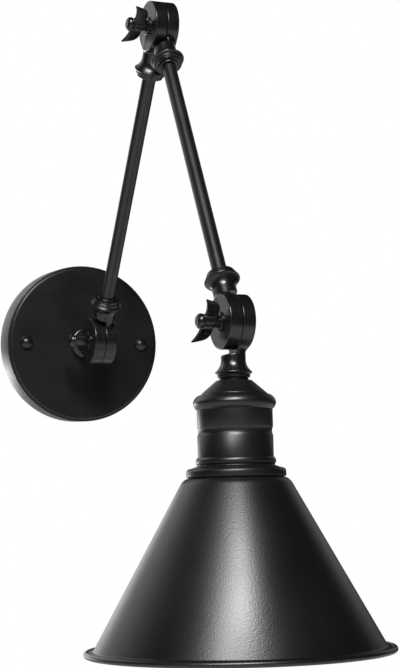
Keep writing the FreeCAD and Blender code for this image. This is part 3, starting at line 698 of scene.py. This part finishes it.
wing_reach = WING_TIP[0] + 2.0
screw_low = (-BUTTON_END - 1, -6, -wing_reach)
screw_high = (7.6, 6, wing_reach)
screw_mesh = cast("wing_screw", wing_screw, screw_low, screw_high, WING_CELL, gloss_black)
for name, place in (("wall", wall_hinge), ("elbow", elbow_hinge), ("head", head_hinge)):
    turn = Matrix.Rotation(math.radians(WING_TURN[name]), 4, "X")
    mesh = screw_mesh.copy()
    piece(name + "_wing_screw_cast", mesh, Matrix.Translation(place) @ turn @ Matrix.Scale(MM, 4),
          name + "_tightener", name + "_wing_screw", slot="black_screw")
recoat(gloss_black, "wall_screw_washer", "elbow_screw_washer", "head_screw_washer")

# ---------------------------------------------------------------------------------------------------
# Arm tubes. Drawn steel tube, 9.5 mm across, pressed into the sockets of each arm's two knuckles; the
# lead wires run through it. Powder coated like the canopy.
# ---------------------------------------------------------------------------------------------------

ARM_LENGTH = (elbow_hinge - wall_hinge).length / MM

for word, place in (("lower", at_lower_base), ("upper", at_upper_base)):
    low, high = SOCKET_FLOOR, ARM_LENGTH - SOCKET_FLOOR
    tube = turned(word + "_tube", satin_black, (TUBE_RADIUS, low), (TUBE_RADIUS, high),
                  (WIRE_BORE_RADIUS, high), (WIRE_BORE_RADIUS, low), sides=96)
    piece(word + "_arm_tube_drawn", tube, place, word + "_arm", word + "_arm_tube",
          slot="black_powder_coat")

# ---------------------------------------------------------------------------------------------------
# Socket cup. Spun from 1.2 mm steel over a former: a sloping top, a rolled bead at the shoulder and a
# shallow groove round the side. The head's nipple and lock nut hold it to the last knuckle.
# ---------------------------------------------------------------------------------------------------

CUP_RADIUS = 23.1
CUP_BEAD_RADIUS = 25.35
CUP_WALL = 1.2
CUP_END = 84.0
CUP_GROOVE_DISTANCE = 67.0
CUP_GROOVE_DEPTH = 0.65
CUP_SLOPE_HEIGHT = 7.9

top = STEM_LENGTH
slope_end = top + CUP_SLOPE_HEIGHT
groove = CUP_GROOVE_DISTANCE
cup = turned(
    "socket_cup", satin_black, (NIPPLE_HOLE, top), (11.0, top), ((15.7, top + 4.1), (20.0, slope_end)),
    ((20.15, slope_end + 0.45), (20.6, slope_end + 0.6)),
    ((23.9, slope_end + 2.5), (CUP_BEAD_RADIUS, slope_end + 5.3)),
    ((CUP_BEAD_RADIUS - 0.55, slope_end + 7.7), (CUP_RADIUS, slope_end + 9.8)), (CUP_RADIUS, groove - 2.6),
    ((CUP_RADIUS - CUP_GROOVE_DEPTH, groove), (CUP_RADIUS, groove + 2.6)), (CUP_RADIUS, CUP_END),
    (CUP_RADIUS - CUP_WALL, CUP_END), (CUP_RADIUS - CUP_WALL, slope_end + 3.5), (19.4, slope_end + 1.2),
    ((15.0, top + 5.25), (10.4, top + CUP_WALL)), (NIPPLE_HOLE, top + CUP_WALL), sides=192)
piece("socket_cup_spun", cup, at_head, "lamp_head", "socket_cup", slot="black_powder_coat")

# ---------------------------------------------------------------------------------------------------
# Lampholder. Cap and body moulded in black phenolic, with a drawn brass shell for the bulb's screw cap,
# a sprung centre contact and two binding screws.
# ---------------------------------------------------------------------------------------------------

SHELL_SEAT = 66.0
SHELL_END = 97.0
SHELL_BORE_RADIUS = 13.25
SHELL_WALL = 0.5
SHELL_PITCH = 3.62
POCKET_RADIUS = 10.0


def phenolic(tree):
    """Moulded phenolic: black with a brown cast, a hard gloss and faint flow marks from the mould."""
    flow = grain(tree, 8.0, detail=3.0, stretch=(1, 1, 0.3))
    return {"Base Color": tint(tree, flow, "#171412", "#221D1A"), "IOR": 1.6,
            "Roughness": spread(tree, flow, 0.28, 0.4), "Normal": bumps(tree, 0.2, 0.03, flow)}


def drawn_brass(tree):
    """Yellow brass drawn over a die: warm metal, a little dulled by handling, with draw lines."""
    lines = grain(tree, 1.6, stretch=(1, 1, 0.1))
    haze = grain(tree, 9.0)
    return {"Base Color": tint(tree, haze, "#C79A4E", "#B98A44"), "Metallic": 1.0,
            "Roughness": spread(tree, haze, 0.24, 0.4), "Normal": bumps(tree, 0.2, 0.02, lines)}


brass = finish("drawn_brass", drawn_brass)
bakelite = finish("moulded_phenolic", phenolic)
recoat(bakelite, "lampholder_cap", "lampholder_body")
recoat(brass, "terminal_screws", "centre_contact")

heights = np.arange(SHELL_SEAT + 1.0, SHELL_END - 0.5, SHELL_PITCH / 12)
angles = 2 * np.pi * np.arange(96) / 96
wave = 0.5 - 0.5 * np.cos(2 * np.pi * (heights[:, None] / SHELL_PITCH - angles[None] / (2 * np.pi)))
ends = np.clip(np.minimum(heights - heights[0], heights[-1] - heights) / 2.0, 0, 1)[:, None]
inner = SHELL_BORE_RADIUS + 0.02 + 0.35 * wave * ends
inside_rows = [circle(r, z, angles) for r, z in zip(inner, heights)]
outside_rows = [circle(r + 0.12, z, angles) for r, z in zip(inner, heights)]
lip = [circle(SHELL_BORE_RADIUS + SHELL_WALL, SHELL_END, angles),
       circle(SHELL_BORE_RADIUS, SHELL_END, angles)]
flange = [circle(SHELL_BORE_RADIUS, SHELL_SEAT + SHELL_WALL, angles),
          circle(POCKET_RADIUS, SHELL_SEAT + SHELL_WALL, angles), circle(POCKET_RADIUS, SHELL_SEAT, angles),
          circle(SHELL_BORE_RADIUS + SHELL_WALL, SHELL_SEAT, angles)]
shell = skin("screw_shell", outside_rows + lip + inside_rows[::-1] + flange, brass, angle=50)
piece("screw_shell_rolled", shell, at_head, "lamp_head", "screw_shell", slot="brass")

# ---------------------------------------------------------------------------------------------------
# Collar. Turned from steel: a rounded band that slips over the cup's end, a hollow flare and a flange
# that the shade is clamped against.
# ---------------------------------------------------------------------------------------------------

SHADE_TOP = 94.5
SHADE_HOLE_RADIUS = 20.6
COLLAR_TOP = 82.8
COLLAR_RADIUS = 30.4

band_end = COLLAR_TOP + 4.1
flare_end = SHADE_TOP - 3.0
collar = turned(
    "shade_collar", satin_black, (CUP_RADIUS, COLLAR_TOP), (CUP_RADIUS + 0.35, COLLAR_TOP),
    (CUP_RADIUS + 0.6, COLLAR_TOP + 0.2),
    ((CUP_RADIUS + 1.35, COLLAR_TOP + 2.1), (CUP_RADIUS + 0.7, band_end)),
    ((CUP_RADIUS + 0.5, band_end + 0.4), (CUP_RADIUS + 0.7, band_end + 0.8)),
    ((COLLAR_RADIUS - 4.5, flare_end - 2.9), (COLLAR_RADIUS - 1.8, flare_end - 2.2)),
    ((COLLAR_RADIUS - 0.5, flare_end - 1.4), (COLLAR_RADIUS, flare_end)),
    *rounded((COLLAR_RADIUS, SHADE_TOP), (COLLAR_RADIUS, SHADE_TOP - 0.6),
             (COLLAR_RADIUS - 0.6, SHADE_TOP)),
    (SHADE_HOLE_RADIUS, SHADE_TOP), (SHADE_HOLE_RADIUS, CUP_END), (CUP_RADIUS, CUP_END), sides=192)
piece("shade_collar_turned", collar, at_head, "lamp_head", "shade_collar", slot="black_powder_coat")

# ---------------------------------------------------------------------------------------------------
# Shade. A cone spun from 0.9 mm steel with a rolled rim: fine-sand black powder coat outside, white
# stove enamel inside to throw the light down.
# ---------------------------------------------------------------------------------------------------

SHADE_WALL = 0.9
SHADE_SHOULDER_RADIUS = 8.0
SHADE_SHOULDER_CENTRE = 27.0
SHADE_HALF_ANGLE = math.radians(29.0)
SHADE_CONE_END = 195.5
RIM_CENTRE_RADIUS = 92.05
RIM_CENTRE_HEIGHT = 198.2
RIM_ROLL_RADIUS = 1.95


def sand_coat(tree):
    """Fine-sand powder coat: a dense grit that scatters each highlight, drawn about 1 mm wide to show."""
    grit = grain(tree, 0.9, detail=1.0)
    drift = grain(tree, 60.0)
    return {"Base Color": tint(tree, drift, "#0B0D0D", "#0F1111"), "IOR": 1.5,
            "Roughness": spread(tree, drift, 0.32, 0.37), "Normal": bumps(tree, 0.9, 0.08, grit)}


def white_enamel(tree):
    """Stoved white enamel: warm white with a soft gloss and a faint orange peel."""
    peel = grain(tree, 3.0, detail=1.0)
    return {"Base Color": tint(tree, peel, "#EFEDE6", "#F4F2EC"), "IOR": 1.5,
            "Roughness": spread(tree, peel, 0.22, 0.32), "Normal": bumps(tree, 0.15, 0.05, peel)}


def cone_skin(inset):
    """Shoulder start, shoulder middle, shoulder end and cone end of one face of the sheet."""
    radius = SHADE_SHOULDER_RADIUS - inset
    height = SHADE_TOP + SHADE_SHOULDER_RADIUS
    lean = math.pi / 4 + SHADE_HALF_ANGLE / 2
    shoulder = [(SHADE_SHOULDER_CENTRE + radius * math.cos(a), height - radius * math.sin(a))
                for a in (math.pi / 2, lean, SHADE_HALF_ANGLE)]
    end_height = SHADE_CONE_END + inset
    run = (end_height - shoulder[2][1]) * math.tan(SHADE_HALF_ANGLE)
    return (*shoulder, (shoulder[2][0] + run, end_height))


sand_black = finish("sand_powder_coat", sand_coat)
start, through, end, cone_end = cone_skin(0)
inner_start, inner_through, inner_end, inner_cone_end = cone_skin(SHADE_WALL)
ledge = RIM_CENTRE_HEIGHT - 1.6
roll_start = (RIM_CENTRE_RADIUS - 1.2, RIM_CENTRE_HEIGHT - 1.54)
roll_end = (RIM_CENTRE_RADIUS - 1.7, RIM_CENTRE_HEIGHT - 0.7)
shade = turned(
    "shade", sand_black, (SHADE_HOLE_RADIUS, SHADE_TOP), start, (through, end), cone_end,
    ((cone_end[0] + 0.45, ledge - 0.25), (cone_end[0] + 1.1, ledge)), roll_start,
    ((RIM_CENTRE_RADIUS + RIM_ROLL_RADIUS, RIM_CENTRE_HEIGHT),
     (RIM_CENTRE_RADIUS, RIM_CENTRE_HEIGHT + RIM_ROLL_RADIUS)),
    ((RIM_CENTRE_RADIUS - 1.75, RIM_CENTRE_HEIGHT + 0.86), roll_end),
    (cone_end[0] + 0.6, ledge + SHADE_WALL), inner_cone_end, inner_end, (inner_through, inner_start),
    (SHADE_HOLE_RADIUS, SHADE_TOP + SHADE_WALL), sides=256, fine=0.3)
shade.materials.append(finish("white_enamel", white_enamel))
for face in shade.polygons:
    radius = math.hypot(face.center.x, face.center.y)
    outer_radius = end[0] + (face.center.z - end[1]) * math.tan(SHADE_HALF_ANGLE)
    turned_in = face.normal.x * face.center.x + face.normal.y * face.center.y < 0 or face.normal.z > 0.9
    if turned_in and radius < RIM_CENTRE_RADIUS - 1.5 and face.center.z > SHADE_TOP + SHADE_WALL / 2:
        face.material_index = 1
piece("shade_spun", shade, at_head, "lamp_head", "shade", slot="shade_coat")

# ---------------------------------------------------------------------------------------------------
# Shade ring. A phenolic ring moulded with finger flutes and screwed up the lampholder's thread, so that
# shade, collar and cup are clamped against the last knuckle.
# ---------------------------------------------------------------------------------------------------

SHADE_RING_RADIUS = 26.5
SHADE_RING_HUB_RADIUS = 22.6
SHADE_RING_HEIGHT = 6.0
HOLDER_THREAD_RADIUS = 19.9
FLUTES = 30
FLUTE_DEPTH = 0.7

angles = 2 * np.pi * np.arange(12 * FLUTES) / (12 * FLUTES)
flute = FLUTE_DEPTH * (0.5 - 0.5 * np.cos(FLUTES * angles)) ** 2
low = SHADE_TOP + SHADE_WALL
high = low + SHADE_RING_HEIGHT
rows = [circle(r - cut * flute, z, angles) for r, z, cut in (
    (HOLDER_THREAD_RADIUS, low, 0), (SHADE_RING_RADIUS - 0.2, low, 1), (SHADE_RING_RADIUS, low + 0.2, 1),
    (SHADE_RING_RADIUS, low + 1.4, 1), (SHADE_RING_RADIUS - 0.25, low + 1.8, 1),
    (SHADE_RING_RADIUS - 0.8, low + 2.0, 1), (SHADE_RING_HUB_RADIUS + 0.4, low + 2.4, 0),
    (SHADE_RING_HUB_RADIUS, low + 2.8, 0), (SHADE_RING_HUB_RADIUS, high - 0.5, 0),
    (SHADE_RING_HUB_RADIUS - 0.5, high, 0), (HOLDER_THREAD_RADIUS + 0.4, high, 0),
    (HOLDER_THREAD_RADIUS, high - 0.4, 0))]
ring = skin("shade_ring", rows, bakelite)
piece("shade_ring_moulded", ring, at_head, "lamp_head", "shade_ring", slot="moulded_phenolic")
